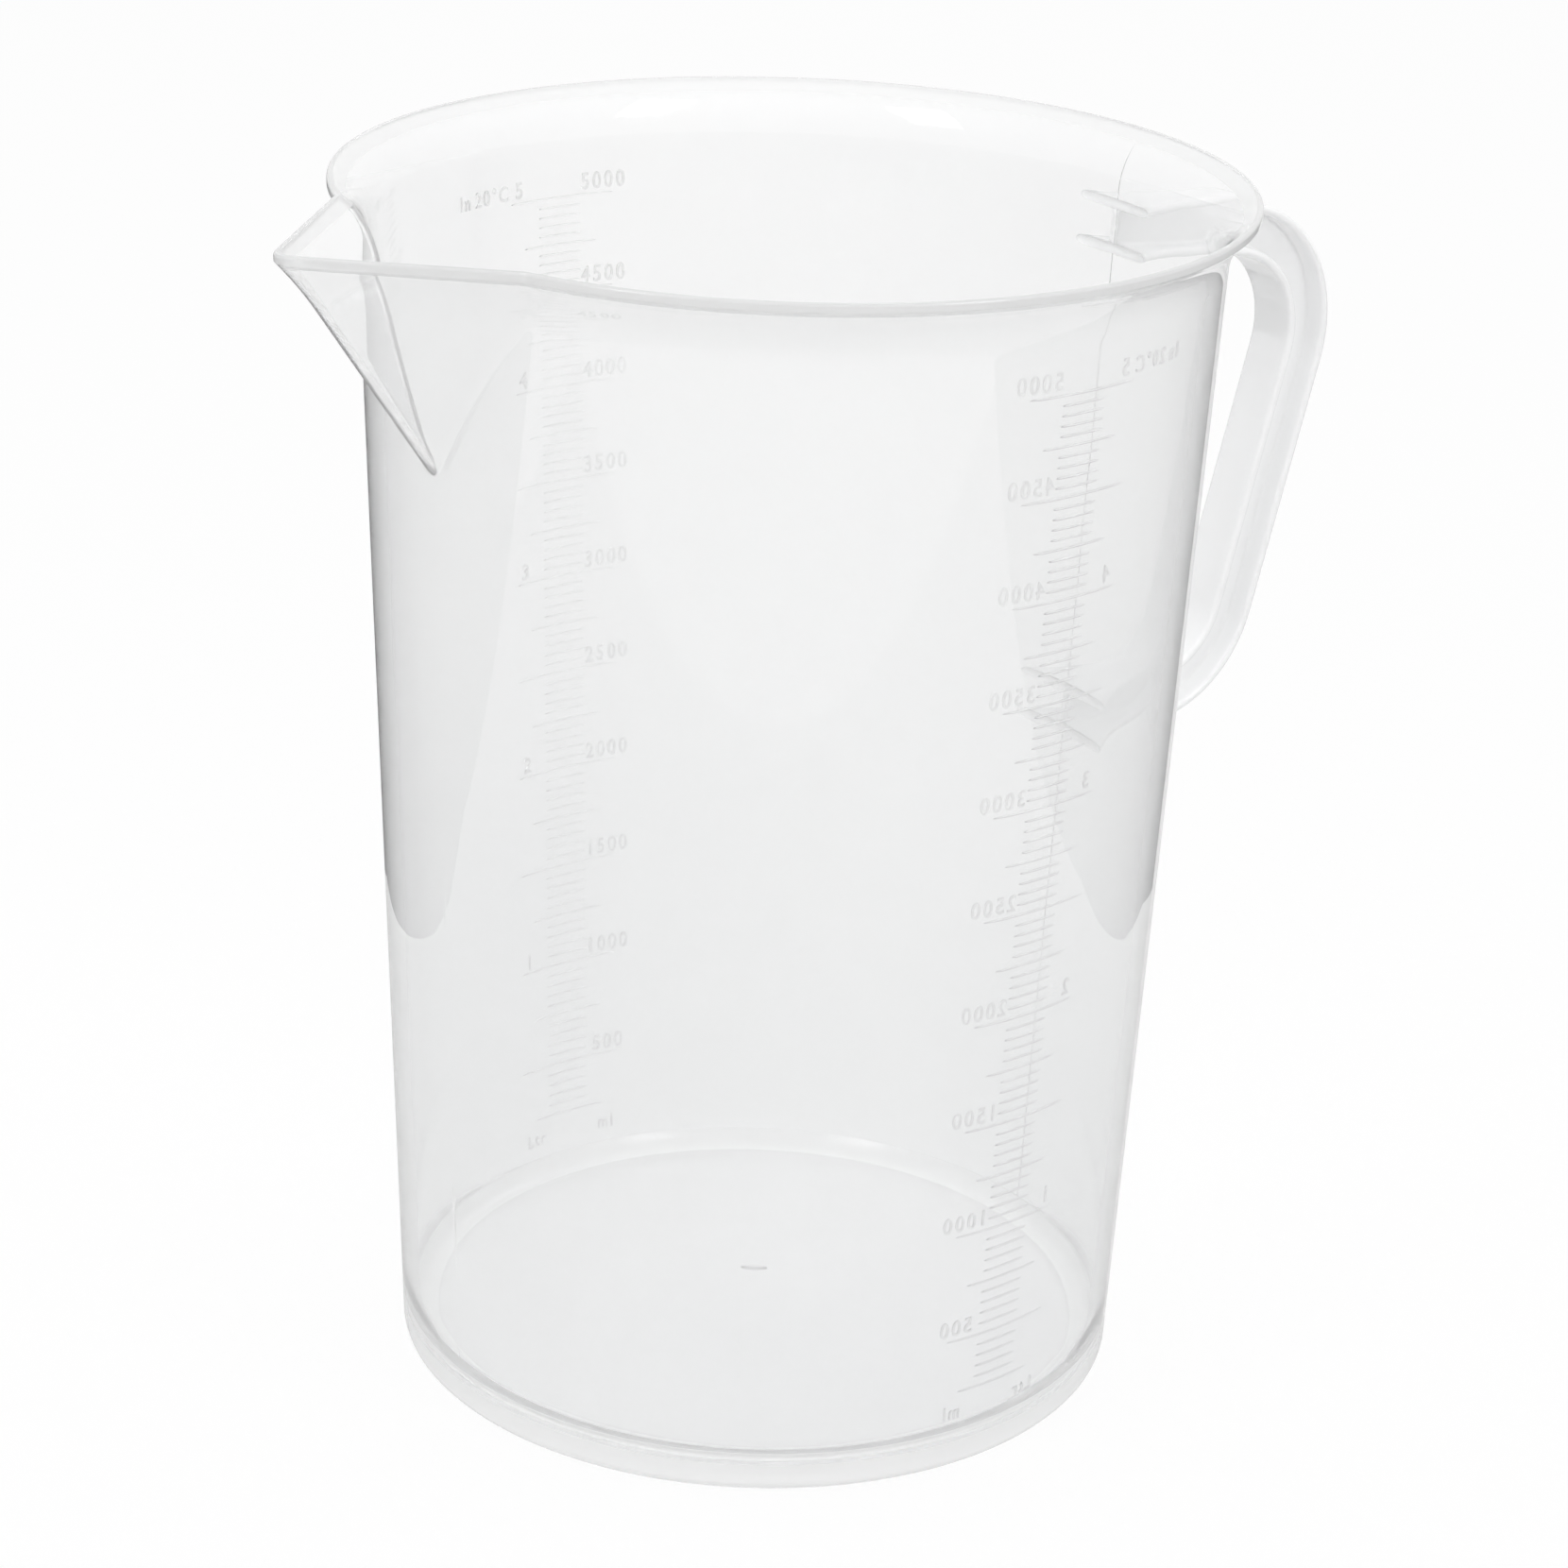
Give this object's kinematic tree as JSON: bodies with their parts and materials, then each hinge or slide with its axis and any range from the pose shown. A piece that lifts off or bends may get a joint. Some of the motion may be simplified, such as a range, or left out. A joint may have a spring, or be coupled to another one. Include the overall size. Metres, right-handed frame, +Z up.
{
  "type": "measuring beaker",
  "caption": "Tall tapered plastic measuring beaker with a V-shaped pouring spout, flared rim, open I-section handle and raised volume lines inside.",
  "frame": {"origin": "centre of the foot ring, on the surface that the beaker stands on", "axes": "+Z up along the cup's axis, +X towards the handle, -X towards the pouring spout"},
  "size_m": [0.2728, 0.1916, 0.263],
  "materials": {
    "clear_plastic": "translucent natural polypropylene, smooth gloss",
    "scale_relief": "raised lines moulded in the same translucent plastic"
  },
  "bodies": {
    "root": {"cup_body": "clear_plastic", "handle": "clear_plastic", "front_scale": "scale_relief", "back_scale": "scale_relief"}
  },
  "joints": []
}
